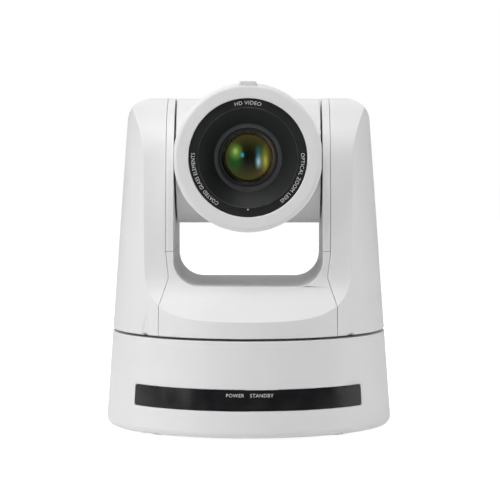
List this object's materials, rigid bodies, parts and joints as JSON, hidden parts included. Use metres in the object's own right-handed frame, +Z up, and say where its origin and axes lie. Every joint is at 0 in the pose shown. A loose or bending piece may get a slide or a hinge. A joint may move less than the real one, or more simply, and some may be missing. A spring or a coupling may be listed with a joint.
{
  "type": "ptz camera",
  "caption": "Pan and tilt video camera: round lens head in a two-armed yoke on a conical base with a dark status window and rear sockets.",
  "frame": {"origin": "on the pan axis, at the surface that the rubber feet stand on", "axes": "+Z up along the pan axis, the lens faces -Y, +X to the right of someone facing the lens"},
  "size_m": [0.1692, 0.1692, 0.2024],
  "materials": {
    "white_cover": "satin moulded",
    "smoked_window": "polished",
    "steel_plate": "satin powder coat",
    "rubber": "matt",
    "circuit_board": "solder mask",
    "indicator": "translucent",
    "dark_plastic": "moulded",
    "connector_metal": "nickel plated",
    "brass_insert": "turned",
    "light_metal": "pressed",
    "bearing_steel": "ground",
    "motor_black": "black",
    "belt_rubber": "matt",
    "screw_steel": "zinc plated",
    "lens_black": "anti-glare",
    "ring_grey": "anodised",
    "lens_glass": "coated",
    "tally_plastic": "frosted",
    "cable": "matt"
  },
  "bodies": {
    "base": {"base_cover": "white_cover", "base_plate": "steel_plate", "rubber_feet": "rubber", "status_window": "smoked_window", "indicator_board": "circuit_board", "indicator_leds": "indicator", "ir_receiver": "dark_plastic", "connector_panel": "dark_plastic", "io_board": "circuit_board", "sdi_socket": "connector_metal", "hdmi_socket": "connector_metal", "network_socket": "connector_metal", "dc_inlet": "dark_plastic", "audio_socket": "dark_plastic", "control_socket": "dark_plastic", "usb_socket": "connector_metal", "main_board": "circuit_board", "tripod_bush": "brass_insert", "base_chassis": "light_metal", "pan_bearing_outer": "bearing_steel", "pan_bearing_balls": "bearing_steel", "pan_motor": "motor_black", "pan_belt": "belt_rubber", "base_screws": "screw_steel"},
    "pan_pinion": {"pan_motor_pulley": "light_metal"},
    "yoke": {"pan_hub": "light_metal", "pan_pulley": "light_metal", "pan_bearing_inner": "bearing_steel", "yoke_frame": "light_metal", "yoke_tray": "white_cover", "saddle_cover": "white_cover", "left_arm_cover": "white_cover", "right_arm_cover": "white_cover", "left_inner_panel": "white_cover", "right_inner_panel": "white_cover", "tilt_bearing_outers": "bearing_steel", "tilt_bearing_balls": "bearing_steel", "tilt_motor": "motor_black", "tilt_belt": "belt_rubber", "yoke_board": "circuit_board", "yoke_harness": "cable", "yoke_screws": "screw_steel"},
    "tilt_pinion": {"tilt_motor_pulley": "light_metal"},
    "head": {"head_front_cover": "white_cover", "head_rear_cover": "white_cover", "head_frame": "light_metal", "tilt_hubs": "light_metal", "tilt_pulley": "light_metal", "tilt_bearing_inners": "bearing_steel", "name_ring": "lens_black", "lens_baffle": "lens_black", "lens_ring": "ring_grey", "front_glass": "lens_glass", "lens_barrel": "dark_plastic", "guide_rods": "bearing_steel", "sensor_board": "circuit_board", "tally_lamp": "tally_plastic", "head_screws": "screw_steel"},
    "zoom": {"zoom_group": "dark_plastic"},
    "focus": {"focus_group": "dark_plastic"}
  },
  "joints": [
    {"name": "pan", "type": "hinge", "parent": "base", "child": "yoke", "pos_m": [0, 0, 0.057], "axis": [0, 0, 1], "range_deg": [-175, 175]},
    {"name": "tilt", "type": "hinge", "parent": "yoke", "child": "head", "pos_m": [0, 0, 0.1565], "axis": [-1, 0, 0], "range_deg": [-30, 210]},
    {"name": "pan_pinion_spin", "type": "hinge", "parent": "base", "child": "pan_pinion", "pos_m": [-0.058, 0, 0.047], "axis": [0, 0, 1], "range_deg": [-900, 900]},
    {"name": "tilt_pinion_spin", "type": "hinge", "parent": "yoke", "child": "tilt_pinion", "pos_m": [-0.061, 0, 0.07255], "axis": [-1, 0, 0], "range_deg": [-150, 860]},
    {"name": "zoom_slide", "type": "slide", "parent": "head", "child": "zoom", "axis": [0, -1, 0], "range_m": [0, 0.016]},
    {"name": "focus_slide", "type": "slide", "parent": "head", "child": "focus", "axis": [0, -1, 0], "range_m": [-0.004, 0.004]}
  ],
  "couplings": [
    {"joint": "pan_pinion_spin", "follows": "pan", "ratio": 5},
    {"joint": "tilt_pinion_spin", "follows": "tilt", "ratio": 4}
  ]
}
